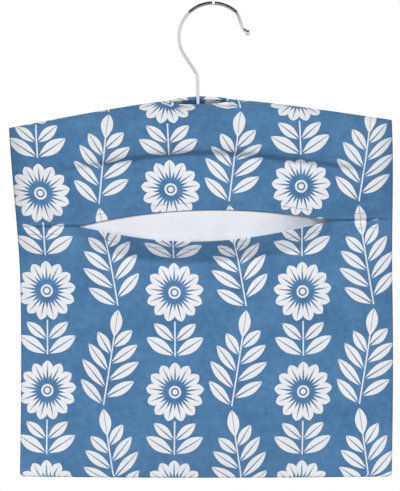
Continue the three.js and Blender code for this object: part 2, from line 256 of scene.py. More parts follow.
crown_centre = complex(0, wire_radius - crown_radius)
heel_point = crown_centre + cmath.rect(crown_radius, heel_angle)
heel_rise = cmath.exp(1j * (heel_angle - math.pi / 2))
heel_run = (heel_point.real - shank_x) / heel_rise.real
heel_turn = heel_angle - math.pi
heel_tangent = heel_bend_radius * math.tan(heel_turn / 2)
shank_length = (heel_point - heel_run * heel_rise).imag - heel_tangent - shank_foot.imag
wire_route = bent_wire(shank_foot, math.pi / 2, [
    (shank_length, heel_bend_radius, heel_turn),
    (heel_run - heel_tangent, crown_radius, tip_angle - heel_angle),
    (wire_step, tip_bend_radius, -tip_bend_turn),
    (tip_length, flare_radius, flare_turn),
    (flare_length, flare_radius, cut_end_turn),
])
from_foot = wire_route.imag - shank_foot.imag
head_radii = peened_radius * np.sqrt(np.clip(peened_flat + from_foot / peened_height, 0, 1))
wire_radii = np.where(from_foot < peened_height - wire_step / 2, head_radii, wire_radius)
hook = lofted("hook_wire", [wire_rings(wire_route, wire_radii)])

chrome = Finish("chrome", {"Metallic": 1.0})
smear = chrome.noise(chrome.spot(), scale=260.0, detail=3.0)
chrome.set({
    "Base Color": chrome.mix(smear, (204, 205, 207), (222, 223, 225)),
    "Roughness": 0.014 + 0.016 * smear,
})
chrome.on(hook)
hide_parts("hook")
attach(hook, "hook")


# Tip ball: a small chromed bead pressed on the end of the wire, with a narrow neck behind it.
# It keeps the wire's end from catching on clothes.

bead_radius = 0.0026
neck_radius = 0.0011
neck_gap = 0.00002  # between the cut end of the wire and the neck
pole_angle = 0.02  # the bead's last ring closes this near to its pole
bead_rings = 18

wire_end = wire_route[-1]
tip_ahead = (wire_end - wire_route[-2]) / abs(wire_end - wire_route[-2])
bead_angles = np.linspace(math.pi - math.asin(neck_radius / bead_radius), pole_angle, bead_rings)
bead_runs = np.concatenate([[neck_gap], bead_radius * (1 + np.cos(bead_angles))])
bead_radii = np.concatenate([[neck_radius], bead_radius * np.sin(bead_angles)])
bead = lofted("tip_ball", [wire_rings(wire_end + tip_ahead * bead_runs, bead_radii)])
chrome.on(bead)
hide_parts("hook_tip_ball")
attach(bead, "hook")


# Washer and ferrule: turned from plain steel bar, with fine rings left by the tool.
# The ferrule lines the hole through the hanger, and the washer bears on the underside.

steel = Finish("turned_steel", {"Metallic": 1.0})
tool_marks = steel.noise(steel.stretched(steel.spot(), (400.0, 400.0, 9000.0)))
steel.set({
    "Base Color": steel.mix(tool_marks, (158, 160, 163), (196, 197, 199)),
    "Roughness": 0.26 + 0.2 * tool_marks,
    "Normal": steel.bump(tool_marks, 0.00003),
})
for node in ("retaining_washer", "swivel_ferrule"):
    steel.on(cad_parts[node])


# Hanger bar: beech, sawn to the arch of the shoulders, rounded over on all edges and waxed.
# The grain runs along the arms, with short dark flecks.

beech = Finish("waxed_beech", {"Coat Weight": 0.12, "Coat Roughness": 0.4})
spot = beech.spot()
grain = beech.noise(beech.stretched(spot, (18.0, 420.0, 420.0)), detail=5.0)
speckle = beech.noise(beech.stretched(spot, (300.0, 2600.0, 2600.0)), detail=1.0)
flecks = (speckle * 6.0 - 3.7).limited()
timber = beech.mix(grain, (176, 134, 88), (222, 188, 142))
beech.set({
    "Base Color": beech.mix(flecks, timber, (128, 88, 54)),
    "Roughness": 0.42 + 0.22 * grain,
    "Normal": beech.bump(grain - 0.5 * flecks, 0.0002),
})
beech.on(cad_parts["hanger_bar"])


# Back panel: printed cotton cut to the bag's outline, sewn to the front round its sides, bottom and
# ridge. It hangs flat behind the hanger, and is turned in at the gap that the hook comes out of.

back_low, back_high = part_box("back_panel")
middle_x = (back_low.x + back_high.x) / 2
shoulder_half = (back_high.x - back_low.x) / 2
bottom_half = 0.170
bottom_z = back_low.z
hang_depth = back_high.y  # from the hanger's middle plane to the face of the cloth
ridge_top = -0.0853
shoulder_slope = 0.18
shoulder_flat = 0.055  # how far the ridge stays nearly level on each side of the hook
taper_top = ridge_top - 0.023  # below it the sides draw in
taper_length = 0.150
mouth_z = (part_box("front_yoke")[0].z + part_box("front_panel")[1].z) / 2
side_shift = 0.0018  # the shoulders hang this far to the right
side_sway = 0.0028  # and the sides bow to the right by this between them and the bottom
out_of_square = 0.021  # the bottom edge slopes by this against the mouth, as the cloth was cut
bottom_sag = 0.0011
corner_radius = 0.004
side_reach = 0.020  # how far in from a seam the cloth reaches its full depth
bottom_reach = 0.045
ridge_reach = 0.008
ridge_share = 0.45  # a sheet further in reaches it sooner at the ridge, by this share of its inset
seam_pucker = 0.00032
side_pucker_reach = 0.010
bottom_pucker_reach = 0.014
ridge_pucker_reach = 0.012
gap_half = 0.0305  # half the length of the gap for the hook
gap_stand = 0.0038  # how far the gap's edges stand from the wire's middle plane
gap_shut = 0.0006  # and how far where they close again on each side of it
shank_room = 0.0065  # how far to each side of the shank the gap stays open
shank_lean = 0.56  # share of its depth by which the cloth leans in to the gap's edge at the shank
shut_lean = 0.37  # and by which it leans in further where the gap closes
lean_height = 0.0035
front_dip = 0.005  # of the yoke's top edge at the gap
back_rise = 0.0017  # of the back panel's
hollow_top = -0.148  # the back falls in below this height
hollow_ease = 0.05
back_hollow = 0.0016
back_wave = 0.0008
cloth_thickness = 0.0005
pressed_depth = 0.0034  # nearer to the middle plane than this, the layers are pressed thin together
pressed_share = 0.06  # down to this share of their thickness
turned_width = 0.007
roll_radius = 0.00075  # of the edges that are turned in
roll_depth = 0.004  # nearer to the middle plane than this, they are rolled tighter
roll_steps = 7
back_columns = 150
back_rows = 150


def ease(share):
    share = np.clip(share, 0, 1)
    return share * share * (3 - 2 * share)


def bell(distance, reach):
    return np.exp(-((distance / reach) ** 2))


def closing(distance, reach):
    share = np.clip(distance / reach, 0, 1)
    return share * (2 - share)


def ridge_z(x):
    return ridge_top - shoulder_slope * (np.hypot(x, shoulder_flat) - shoulder_flat)


def half_width(z):
    return shoulder_half + (bottom_half - shoulder_half) * ease((taper_top - z) / taper_length)


def rounded_off(height):
    """How much narrower the bag is near its bottom, where the corners are rounded."""
    share = np.clip(1 - height / corner_radius, 0, 1)
    return corner_radius * (1 - np.sqrt(1 - share ** 2))


def ripple(along, phase):
    """An uneven wave of height one, such as the puckers along a sewn line."""
    drift = 1.7 * np.sin(along / 0.019 + phase)
    slow = np.sin(along / 0.0031 + phase + drift)
    quick = np.sin(along / 0.0017 + 2.3 * phase)
    return 0.6 * slow + 0.4 * quick


def gap_share(x):
    """One along the middle of the gap for the hook, and nought past its ends."""
    return np.maximum(0, 1 - (x / gap_half) ** 4) ** 1.5


def gap_edge(x):
    """How far the gap's edges stand from the wire's middle plane."""
    shut = 1 - bell(x, shank_room)
    return (gap_stand + (gap_shut - gap_stand) * shut) * np.sqrt(gap_share(x))


def depth_kept(x, z, facing):
    """The share of its depth that cloth keeps near the gap, to whose edges it leans in."""
    shut = 1 - bell(x, shank_room)
    lean = (1 - (1 - gap_share(x)) ** 4) * (shank_lean + shut_lean * shut)
    from_edge = np.maximum(0, ridge_z(x) - z - front_dip * (facing < 0))
    return 1 - lean * np.exp(-from_edge / lean_height)


def lay(depth, facing, across, z, inset=0.0, skin=0.0):
    """Points of a sheet in the bag: at its full depth in the middle, and drawn together at the seams.

    Depth is the sheet's own function of the place. Facing is 1 for the back and -1 for the front.
    """
    width = half_width(z) - inset - rounded_off(z - bottom_z)
    x = across * width
    from_side = width - abs(x)
    from_bottom = z - bottom_z - inset
    from_ridge = ridge_z(x) - inset - z
    puckers = ripple(z, 1.0 + np.sign(x)) * np.exp(-from_side / side_pucker_reach)
    puckers = puckers + ripple(x, 0.4) * np.exp(-from_bottom / bottom_pucker_reach)
    puckers = puckers + ripple(x, 2.1) * np.exp(-from_ridge / ridge_pucker_reach)
    drawn = closing(from_side, side_reach) * closing(from_bottom, bottom_reach)
    drawn = drawn * np.sqrt(closing(from_ridge, ridge_reach - ridge_share * inset))
    out = (depth(x, z) - skin + seam_pucker * puckers) * drawn * depth_kept(x, z, facing)
    out = np.where(from_ridge < ridge_reach, np.maximum(out, gap_edge(x)), out)
    up = np.clip((z - bottom_z) / (taper_top - bottom_z), 0, 1)
    sway = side_shift * (1 - (1 - up) ** 2) + side_sway * np.sin(math.pi * up)
    below = np.clip((mouth_z - z) / (mouth_z - bottom_z), 0, 1)
    fall = below * (out_of_square * x + bottom_sag * (1 - across ** 2))
    return np.stack([middle_x + x + sway, facing * out, z - fall], axis=-1)


def unit(vectors):
    return vectors / np.maximum(np.linalg.norm(vectors, axis=-1, keepdims=True), 1e-12)


def face_normals(face):
    """Unit normals of a grid of points. Seen from outside, columns run to the right and rows run up."""
    return unit(np.cross(np.gradient(face, axis=1), np.gradient(face, axis=0)))


def turned_in(face, upward):
    """Rows that roll over a sheet's top edge, or its low edge for -1, and run back behind it."""
    rows = face[::upward]
    normals = face_normals(face)[::upward]
    radius = roll_radius * np.clip(abs(rows[..., 1:2]) / roll_depth, 0, 1)
    ahead = unit(rows[-1] - rows[-2])
    made = []
    for angle in np.linspace(0, math.pi, roll_steps)[1:]:
        shift = normals[-1] * (math.cos(angle) - 1) + ahead * math.sin(angle)
        made.append(rows[-1] + radius[-1] * shift)
    run = np.linalg.norm(rows[-1] - rows[::-1], axis=-1).max(axis=1)
    for k, length in enumerate(run):
        if 0 < length <= turned_width:
            made.append(rows[-1 - k] - 2 * radius[-1 - k] * normals[-1 - k])
    return np.array(made)[::upward]


def run_along(points):
    """How far along the cloth each point lies from the first one, or each row from the first row."""
    steps = np.linalg.norm(np.diff(points, axis=0), axis=-1)
    return np.concatenate([np.zeros_like(steps[:1]), np.cumsum(steps, axis=0)])


def flat_run(face, anchor_row, anchor_v):
    """How far up the flat cloth each point of a grid lies, counted from a row of known height."""
    run = run_along(face)
    return run - run[anchor_row] + anchor_v


def cloth_mesh(name, face, behind, flat_u, flat_v):
    """A closed piece of two grids of points and a rim that joins them. Its map holds the flat cloth."""
    rows, columns = face.shape[:2]
    size = rows * columns
    index = np.arange(size).reshape(rows, columns)
    quads = np.stack([index[:-1, :-1], index[:-1, 1:], index[1:, 1:], index[1:, :-1]], axis=-1)
    quads = quads.reshape(-1, 4)
    rim = np.concatenate([index[0, :-1], index[:-1, -1], index[-1, :0:-1], index[:0:-1, 0]])
    after = np.roll(rim, -1)
    edge = np.stack([after, rim, rim + size, after + size], axis=-1)
    faces = np.concatenate([quads, quads[:, ::-1] + size, edge])
    points = np.concatenate([face.reshape(-1, 3), behind.reshape(-1, 3)])
    piece = new_piece(name, points, faces.tolist())
    flat = np.stack(np.broadcast_arrays(flat_u, flat_v), axis=-1).reshape(-1, 2)
    corner = np.zeros(len(piece.data.loops), np.int32)
    piece.data.loops.foreach_get("vertex_index", corner)
    layer = piece.data.uv_layers.new(name="cloth")
    layer.data.foreach_set("uv", np.tile(flat, (2, 1))[corner].astype(np.float32).ravel())
    return piece


def sheet(name, face, flat_u, flat_v, thickness):
    """A piece of cloth with this face, thinner where its layers are pressed together."""
    rows, columns = face.shape[:2]
    thin = thickness * np.clip(abs(face[..., 1:2]) / pressed_depth, pressed_share, 1)
    behind = face - face_normals(face) * thin
    facing = np.sign(face[rows // 4, columns // 2, 1])
    least = np.minimum(0, facing * face[..., 1] - thin[..., 0])
    behind[..., 1] = facing * np.maximum(facing * behind[..., 1], least)
    return cloth_mesh(name, face, behind, flat_u, flat_v)


def notched_ridge(across, inset, depth):
    """Height of a sheet's top edge, which dips at the gap for the hook."""
    x = across * (shoulder_half - inset)
    return ridge_z(x) - inset - depth * gap_share(x)


def rows_between(low, high, count, low_close=0.0, high_close=0.0):
    """Heights from a low edge to a high one, closer together at an edge by the share given for it."""
    share = np.linspace(0, 1, count)
    close = np.where(share < 0.5, low_close, high_close)
    share = share - close * np.sin(2 * math.pi * share) / (2 * math.pi)
    return low[None, :] + (high - low)[None, :] * share[:, None]


def back_depth(x, z):
    """How far the back lies behind the hanger's middle plane: flat on the bar, and uneven below it."""
    broad = np.sin(x / 0.031 + 0.8 * np.sin(z / 0.07))
    narrow = np.sin(x / 0.017 - z / 0.09 + 1.1)
    hollow = back_hollow - back_wave * (broad + 0.6 * narrow)
    return hang_depth - ease((hollow_top - z) / hollow_ease) * hollow


def flat_cloth(finish):
    """The place on the flat cloth, in metres."""
    return finish.node("ShaderNodeUVMap", {"uv_map": "cloth"}, {})


def woven(finish, flat, pitch):
    """Threads of a plain weave, as a height, and the slubs in its yarn, as a shade about nought."""
    along_yarn = 110.0
    across_yarn = 1500.0
    place = finish.node("ShaderNodeSeparateXYZ", {}, {0: flat})
    turns = 2 * math.pi / pitch
    threads = (place * turns).sine() * (place.output(1) * turns).sine()
    weft = finish.noise(finish.stretched(flat, (along_yarn, across_yarn, 1.0)), detail=3.0)
    warp = finish.noise(finish.stretched(flat, (across_yarn, along_yarn, 1.0)), detail=3.0)
    return threads, weft + warp - 1.0


print_edge = 0.0005  # how soft the edges of the printed ink are
print_vein = 0.0006  # what is left open along the middle of a leaf, and beside a stalk
stalk_half = 0.0009
stalk_foot = -0.044  # from the middle of a motif
thread_pitch = 0.00085


def inked(inside):
    """One where a distance in from an outline is above nought, with the edge that ink has on cloth."""
    return (inside / print_edge).limited()


def stalk(x, y, top):
    return inked(stalk_half - abs(x)) * inked(y - stalk_foot) * inked(top - y)


def leaf(x, y, foot, lean, length, width, vein=print_vein):
    """A pointed leaf of the print, which leans from its foot by degrees, with its vein left open."""
    ahead_x = math.sin(math.radians(lean))
    ahead_y = math.cos(math.radians(lean))
    out = x - vein
    up = y - foot
    along = ((out * ahead_x + up * ahead_y) / length).limited()
    aside = abs(out * ahead_y - up * ahead_x)
    half = (along ** 1.1 * math.pi).sine() ** 0.85 * (width / 2)
    return inked(half - aside) * inked(aside - vein * (0.9 - along))


def sprig(x, y):
    """A leafy stem of the print: leaves in steps up both sides and one at its tip."""
    step = 0.0035
    stepped = y - step * x.math("SIGN", x)
    side = abs(x)
    made = leaf(x, y, foot=0.019, lean=0, length=0.026, width=0.0115, vein=0.0)
    for foot, lean, length in [
        (-0.040, 52, 0.031),
        (-0.0245, 50, 0.034),
        (-0.009, 46, 0.031),
        (0.0065, 40, 0.024),
    ]:
        made = made.joined(leaf(side, stepped, foot, lean, length, width=0.0108))
    return made.joined(stalk(x, y, top=0.024))


def daisy(x, y):
    """A round flower of the print: petals about an eye, on a short stalk with two pairs of leaves."""
    petals = 13
    petal_start = 0.0068
    petal_length = 0.0205
    petal_half = 0.0053
    slit_half = 0.0014
    eye_radius = 0.0060
    ring_radius = 0.0032
    ring_half = 0.0005
    flower_height = 0.0145
    raised = y - flower_height
    reach = (x * x + raised * raised) ** 0.5
    sector = x.math("ARCTAN2", x, raised) * (petals / (2 * math.pi))
    angle = (sector - (sector + 0.5).whole()) * (2 * math.pi / petals)
    ahead = reach * angle.math("COSINE", angle)
    aside = reach * abs(angle.sine())
    along = ((ahead - petal_start) / petal_length).limited()
    half = (along ** 1.8 * math.pi).sine() ** 0.7 * petal_half
    made = inked(half - aside) * inked(aside - slit_half * (0.75 - along))
    made = made.joined(inked(eye_radius - reach) * inked(abs(reach - ring_radius) - ring_half))
    made = made.joined(stalk(x, y, top=-0.012))
    side = abs(x)
    for foot, lean, length, width in [(-0.043, 58, 0.031, 0.0125), (-0.030, 50, 0.025, 0.0105)]:
        made = made.joined(leaf(side, y, foot, lean, length, width))
    return made


def printed_cotton():
    """Plain-weave cotton in mid blue with sprigs and daisies in white, in columns by turns."""
    column_width = 0.060
    repeat = 0.091
    ragged = 0.0007  # how far the yarn breaks up the edges of the print
    lean = math.radians(9)
    finish = Finish("printed_cotton", {"Sheen Weight": 0.08, "Sheen Roughness": 0.5})
    flat = flat_cloth(finish)
    threads, slubs = woven(finish, flat, thread_pitch)
    place = finish.node("ShaderNodeSeparateXYZ", {}, {0: flat})
    u = place + ragged * (finish.noise(flat, scale=900.0, detail=1.0) - 0.5)
    v = place.output(1) + ragged * (finish.noise(flat, scale=1100.0, detail=1.0) - 0.5)
    column = (u / column_width).whole()
    odd = column % 2.0
    x = u - (column + 0.5) * column_width
    raised = v + odd * (repeat / 2)
    row = (raised / repeat).whole()
    y = raised - (row + 0.5) * repeat
    way = 1.0 - 2.0 * (row % 2.0)
    leant_x = x * math.cos(lean) - y * way * math.sin(lean)
    leant_y = y * math.cos(lean) + x * way * math.sin(lean)
    white = sprig(leant_x, leant_y) * (1.0 - odd) + daisy(x, y) * odd
    patches = finish.noise(flat, scale=26.0, detail=3.0) - 0.5
    specks = finish.noise(flat, scale=150.0) - 0.5
    dye = (0.5 + 0.7 * slubs + (1.1 * patches + 0.9 * specks)).limited()
    blue = finish.mix(dye, (54, 102, 146), (88, 136, 178))
    cover = (0.5 + 0.8 * slubs).limited()
    ink = finish.mix(cover, (226, 228, 232), (242, 243, 246))
    finish.set({
        "Base Color": finish.mix(white, blue, ink),
        "Roughness": 0.86 + 0.1 * slubs,
        "Normal": finish.bump(threads + 2.0 * slubs, 0.00005),
    })
    return finish


print_finish = printed_cotton()
back_across = -np.linspace(-1, 1, back_columns)
back_ridge = notched_ridge(back_across, 0.0, -back_rise)
back_heights = rows_between(np.full(back_columns, bottom_z), back_ridge, back_rows, high_close=0.8)
back_face = lay(back_depth, 1, back_across, back_heights)
back_face = np.concatenate([back_face, turned_in(back_face, 1)])
back_u = -back_across * shoulder_half
back_v = flat_run(back_face, 0, bottom_z)
back_panel = sheet("back_panel_cloth", back_face, back_u, back_v, cloth_thickness)
print_finish.on(back_panel)
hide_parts("back_panel", "back_gap_facing")
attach(back_panel, "bag")


# Front yoke: the upper front, in the same print. It rests on the hanger, creases under the bar's lower
# edge and stands forward to the mouth. It is turned in at the mouth and at the gap for the hook.

mouth_half = 0.116
upper_rise = 0.0128  # of the upper lip over the corners of the mouth
yoke_flare = 0.009  # how far that lip stands forward
bar_foot = 0.0486  # from the ridge down to the bar's lower edge
arm_taper = 0.006  # slope by which the bar gets narrower towards its tips
bar_tilt = 0.008  # slope by which the bag hangs askew on its hanger
bar_swell = 0.0096  # how far the cloth stands forward over the bar
swell_reach = 0.022  # from the ridge down to where it does
crease_fall = 0.0140  # the cloth rolls in within this height about the bar's lower edge
crease_core = 0.0050  # and mostly within this one
core_drop = 0.0008  # which lies lower by this
crease_middle = 0.012  # the crease lies a little to the right
crease_reach = 0.155
crease_fade = 0.075
crease_least = 0.15  # share of the crease that is left past its ends
loose_start = 0.004  # the cloth hangs loose from this far below the bar
loose_ease = 0.03
join_gap = 0.00005  # between the yoke and the front panel beside the mouth
join_overlap = 0.010  # the sewn line starts to dip in this far short of the mouth's corners
join_ease = 0.012
join_groove = 0.0024
groove_reach = 0.0014
join_dip = 0.0022
dip_reach = 0.011
side_slack = 0.0052  # the sides hang this much flatter below the mouth
slack_start = 0.078  # from the middle of the bag
slack_ease = 0.050
slack_height = 0.028
left_fold = -0.024  # where they fall back, from the height of the mouth
right_fold = 0.0015
shoulder_folds = [  # side, place out from the middle, height, and how far each stands out
    (1, 0.140, -0.168, 0.0014),
    (1, 0.146, -0.190, 0.0011),
    (-1, 0.144, -0.176, 0.0012),
]
fold_out = 0.85  # the folds run this far outwards
fold_up = 0.53  # for this far up
fold_length = 0.030
fold_width = 0.0055
trough_share = 0.6  # depth of the trough under a fold
trough_drop = 0.012
trough_width = 0.007
front_columns = 220
yoke_rows = 170


def mouth_arch(x):
    return np.maximum(0, 1 - (x / mouth_half) ** 2)


def upper_lip(x):
    return mouth_z + upper_rise * mouth_arch(x)


def groove(x, z):
    """The sewn line beside the mouth, where both panels dip in."""
    beside = ease((abs(x) - mouth_half + join_overlap) / join_ease)
    line = join_groove * bell(z - mouth_z, groove_reach) + join_dip * bell(z - mouth_z, dip_reach)
    return beside * line


def crumple(x, z):
    """Soft unevenness of hanging cloth, and folds from the shoulders to the corners of the mouth."""
    upright = np.sin(x / 0.021 + 1.1 * np.sin(z / 0.040) + 0.4)
    level = np.sin(z / 0.017 - x / 0.050 + 0.9 * np.sin(x / 0.030))
    slanted = np.sin((x + z) / 0.010 + 1.4 * np.sin((x - z) / 0.030))
    fine = np.sin((x - 0.6 * z) / 0.0052 + 1.7 * np.sin((x + z) / 0.020))
    uneven = 0.0009 * upright + 0.0007 * level + 0.00030 * slanted + 0.00013 * fine
    for side, fold_x, fold_z, height in shoulder_folds:
        along = fold_out * (side * x - fold_x) + fold_up * (z - fold_z)
        beside = fold_out * (z - fold_z) - fold_up * (side * x - fold_x)
        trough = trough_share * bell(beside + trough_drop, trough_width)
        uneven = uneven + height * bell(along, fold_length) * (bell(beside, fold_width) - trough)
    return uneven


def slack(x, z):
    """How far the sides fall back below a fold beside the mouth, where nothing holds the bag open."""
    fold_z = mouth_z + np.where(x > 0, right_fold, left_fold)
    outward = ease((abs(x) - slack_start) / slack_ease)
    return side_slack * outward * ease((fold_z - z) / slack_height + 0.5)


def yoke_depth(x, z):
    """How far the yoke lies before the hanger's middle plane."""
    bar_low = ridge_z(x) - bar_foot + arm_taper * abs(x) - bar_tilt * x
    below = bar_low - z
    flare = yoke_flare * mouth_arch(x) ** 2 * ease(below / (bar_low - mouth_z))
    over_bar = ease((ridge_z(x) - z) / swell_reach)
    fallen = ease(below / crease_fall + 0.5) + ease((below - core_drop) / crease_core + 0.5)
    inward = ease((crease_reach - abs(x - crease_middle)) / crease_fade)
    swell = bar_swell * over_bar * (1 - 0.5 * fallen)
    swell = swell * (crease_least + (1 - crease_least) * inward)
    loose = crumple(x, z) * ease((below - loose_start) / loose_ease)
    return hang_depth + flare + swell - groove(x, z) - slack(x, z) + loose


across = np.linspace(-1, 1, front_columns)
front_u = across * shoulder_half
mouth_x = across * half_width(mouth_z)
lip_roll = roll_radius * (mouth_arch(mouth_x) > 0)
yoke_low = np.maximum(mouth_z + join_gap, upper_lip(mouth_x)) + lip_roll
yoke_ridge = notched_ridge(across, 0.0, front_dip)
yoke_heights = rows_between(yoke_low, yoke_ridge, yoke_rows, low_close=0.6, high_close=0.8)
yoke_face = lay(yoke_depth, -1, across, yoke_heights)
yoke_hem = turned_in(yoke_face, -1)
yoke_face = np.concatenate([yoke_hem, yoke_face, turned_in(yoke_face, 1)])
yoke_v = flat_run(yoke_face, len(yoke_hem), yoke_low)
front_yoke = sheet("front_yoke_cloth", yoke_face, front_u, yoke_v, cloth_thickness)
print_finish.on(front_yoke)
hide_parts("front_yoke", "yoke_hem", "left_join_seam", "right_join_seam", "front_gap_facing")
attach(front_yoke, "bag")


# Front panel: the lower front, from the mouth to the bottom seam. Its turned-in edge sags and leans
# forward as the lower lip of the mouth, and the cloth below it bellies a little.

lower_sag = 0.0162  # of the lower lip under the corners of the mouth
lower_skew = 0.10  # the lip hangs lowest left of its middle
lip_flare = 0.020
lip_band = 0.019  # from the lip down to the fold where the cloth turns forward again
lip_round = 0.008  # how softly it does
lip_fold = 0.0012
lip_fold_reach = 0.25  # as a share of the band
front_belly = 0.011
front_rows = 140


def lower_lip(x):
    return mouth_z - lower_sag * mouth_arch(x) ** 1.15 * (1 - lower_skew * x / mouth_half)


def front_depth(x, z):
    """How far the front panel lies before the hanger's middle plane."""
    arch = mouth_arch(x)
    inward = np.maximum(0, 1 - (x / half_width(z)) ** 2) ** 2
    up = np.clip((z - bottom_z) / (mouth_z - bottom_z), 0, 1)
    belly = front_belly * inward * np.sin(math.pi * up) ** 1.6
    above_fold = 1 - (lower_lip(x) - z) / lip_band
    rise = 0.5 * (above_fold + np.sqrt(above_fold ** 2 + lip_round))
    fold = lip_fold * arch ** 0.5 * bell(above_fold, lip_fold_reach)
    lip = lip_flare * arch ** 0.8 * rise - fold
    return hang_depth + belly + lip - groove(x, z) - slack(x, z) + crumple(x, z)


front_high = np.minimum(mouth_z - join_gap, lower_lip(mouth_x)) - lip_roll
front_heights = rows_between(np.full(front_columns, bottom_z), front_high, front_rows, high_close=0.6)
front_face = lay(front_depth, -1, across, front_heights)
front_face = np.concatenate([front_face, turned_in(front_face, 1)])
front_v = flat_run(front_face, 0, bottom_z)
front_panel = sheet("front_panel_cloth", front_face, front_u, front_v, cloth_thickness)
print_finish.on(front_panel)
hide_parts("front_panel", "front_hem")
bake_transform(front_panel)


# Linings: plain white cotton inside the back, the yoke and the front, sewn in at the seams and along
# the mouth. The back lining shows through the mouth, where it falls in soft upright folds.

lining_inset = 0.0088  # from the bag's outline
lining_skin = 0.0024  # from the face of the outer cloth
lining_thickness = 0.0004
lining_setback = 0.0022  # from a lip of the mouth to the lining sewn behind it
lining_hollow = 0.0026  # from the upper lip back to the lining, which billows forward behind the mouth
corner_hollow = 0.0008  # and this much more at the corners
tip_hollow = 0.0040  # and this much at the right one
tip_start = 0.094
tip_ease = 0.014
forward_lean = 0.13  # the lining comes forward by this share of its fall behind the mouth
right_lean = 0.80  # but falls back by this one towards the right
right_start = 0.040
right_ease = 0.060
upright_folds = 0.09  # share of its fall by which the folds stand out
billow_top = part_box("hanger_bar")[1].z - 0.054  # low enough to clear the bar when the bag is lifted
billow_foot = mouth_z - 0.052
billow_ease = 0.036
billow_half = 0.140
billow_side_ease = 0.028
lining_room = 0.0012  # what it leaves before it to the linings of the front
lining_columns = 120
lining_rows = 90
back_lining_rows = 190


def back_lining_depth(x, z):
    """How far the back lining lies behind the hanger's middle plane: below nought, where it billows."""
    upper = upper_lip(x)
    lower = lower_lip(x)
    back = back_depth(x, z)
    loose = ease((billow_top - z) / billow_ease) * ease((z - billow_foot) / billow_ease)
    loose = loose * ease((billow_half - abs(x)) / billow_side_ease)
    broad = np.sin(x / 0.0105 + 1.4 * np.sin(x / 0.043) + z / 0.16)
    narrow = np.sin(x / 0.0052 + z / 0.08)
    rightward = ease((x - right_start) / right_ease)
    lean = right_lean * rightward - forward_lean * (1 - rightward)
    lean = lean + upright_folds * (broad + 0.5 * narrow)
    hollow = lining_hollow + corner_hollow * (1 - mouth_arch(x)) ** 3
    hollow = hollow + tip_hollow * ease((x - tip_start) / tip_ease)
    fall = np.clip(upper - z, 0, upper - lower)
    billow = yoke_depth(x, upper) - lining_skin - hollow - lean * fall
    forward = loose * billow - back * (1 - loose)
    behind_yoke = np.minimum(hollow + 2 * np.maximum(0, z - upper), 2 * lining_skin + lining_room)
    yoke_limit = yoke_depth(x, z) - lining_skin - behind_yoke
    front_limit = front_depth(x, z) - 2 * lining_skin - lining_room
    limit = np.where(z > upper, yoke_limit, np.where(z < lower, front_limit, np.inf))
    return np.minimum(back, -np.minimum(forward, limit))


def plain_cotton(name, sheen, pitch, relief, dark, light):
    """Plain-weave cotton of one dye, which the slubs in its yarn make a little uneven."""
    finish = Finish(name, {"Sheen Weight": sheen, "Sheen Roughness": 0.5})
    threads, slubs = woven(finish, flat_cloth(finish), pitch)
    shade = (0.5 + slubs).limited()
    finish.set({
        "Base Color": finish.mix(shade, dark, light),
        "Roughness": 0.88 + 0.08 * slubs,
        "Normal": finish.bump(threads + 2.0 * slubs, relief),
    })
    return finish


lining = plain_cotton("lining_cotton", sheen=0.05, pitch=0.0007, relief=0.00004,
                      dark=(237, 240, 250), light=(250, 252, 255))
lining_across = np.linspace(-1, 1, lining_columns)
lining_x = lining_across * half_width(mouth_z)
lining_bottom = np.full(lining_columns, bottom_z + lining_inset)
lining_ridge = notched_ridge(lining_across, lining_inset, 0.0)
lining_upper = upper_lip(lining_x) + lining_setback
lining_lower = lower_lip(lining_x) - lining_setback
linings = {}
for name, depth, facing, rows, low, high in [
    ("back_lining", back_lining_depth, 1, back_lining_rows, lining_bottom, lining_ridge[::-1]),
    ("yoke_lining", yoke_depth, -1, lining_rows, lining_upper, lining_ridge),
    ("front_lining", front_depth, -1, lining_rows, lining_bottom, lining_lower),
]:
    shares = -facing * lining_across
    face = lay(depth, facing, shares, rows_between(low, high, rows), lining_inset, lining_skin)
    linings[name] = sheet(f"{name}_cloth", face, shares, flat_run(face, 0, low), lining_thickness)
    lining.on(linings[name])
    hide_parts(name)
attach(linings["back_lining"], "bag")
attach(linings["yoke_lining"], "bag")
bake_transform(linings["front_lining"])


# Seam allowances: the raw edges inside the side, ridge and bottom seams, two layers together.
# Each is trimmed to a narrow strip with a slightly wavy edge, whipped over with thread.

seam_start = 0.003  # from the bag's outline to the stitched line
seam_width = 0.0054
seam_thickness = 0.0008
seam_wave = 0.00015
seam_wave_run = 0.2
seam_rows = 6
seam_points = 90
side_foot = 0.015  # the side seams start this far above the bottom
side_head = 0.009  # and end this far below the shoulders
ridge_start = 0.001  # the ridge seams start this far past the gap for the hook
whip_pitch = 0.0032
whip_middle = 0.0014  # from the raw edge in to the middle of the whipping
whip_half = 0.0015
whip_stand = 0.00035  # how far it stands off the cloth
whip_points = 10  # in each turn
thread_radius = 0.0002
thread_sides = 6

seam_cloth = plain_cotton("seam_cotton", sheen=0.08, pitch=thread_pitch, relief=0.00005,
                          dark=(98, 132, 166), light=(134, 164, 192))

thread_finish = Finish("cotton_thread", {"Sheen Weight": 0.1})
twist = thread_finish.noise(thread_finish.spot(), scale=2600.0)
thread_finish.set({
    "Base Color": thread_finish.mix(twist, (62, 98, 138), (92, 130, 168)),
    "Roughness": 0.7 + 0.2 * twist,
    "Normal": thread_finish.bump(twist, 0.00008),
})


def swept_thread(route):
    """Rings round a thread that follows any route."""
    ahead = unit(np.gradient(route, axis=0))
    steep = abs(ahead[:, 1:2]) > 0.9
    upward = np.where(steep, [[1.0, 0.0, 0.0]], [[0.0, 1.0, 0.0]])
    aside = unit(np.cross(ahead, upward))
    upward = np.cross(aside, ahead)
    angle = (np.arange(thread_sides) * 2 * math.pi / thread_sides)[None, :, None]
    spokes = np.cos(angle) * aside[:, None] + np.sin(angle) * upward[:, None]
    return route[:, None] + thread_radius * spokes


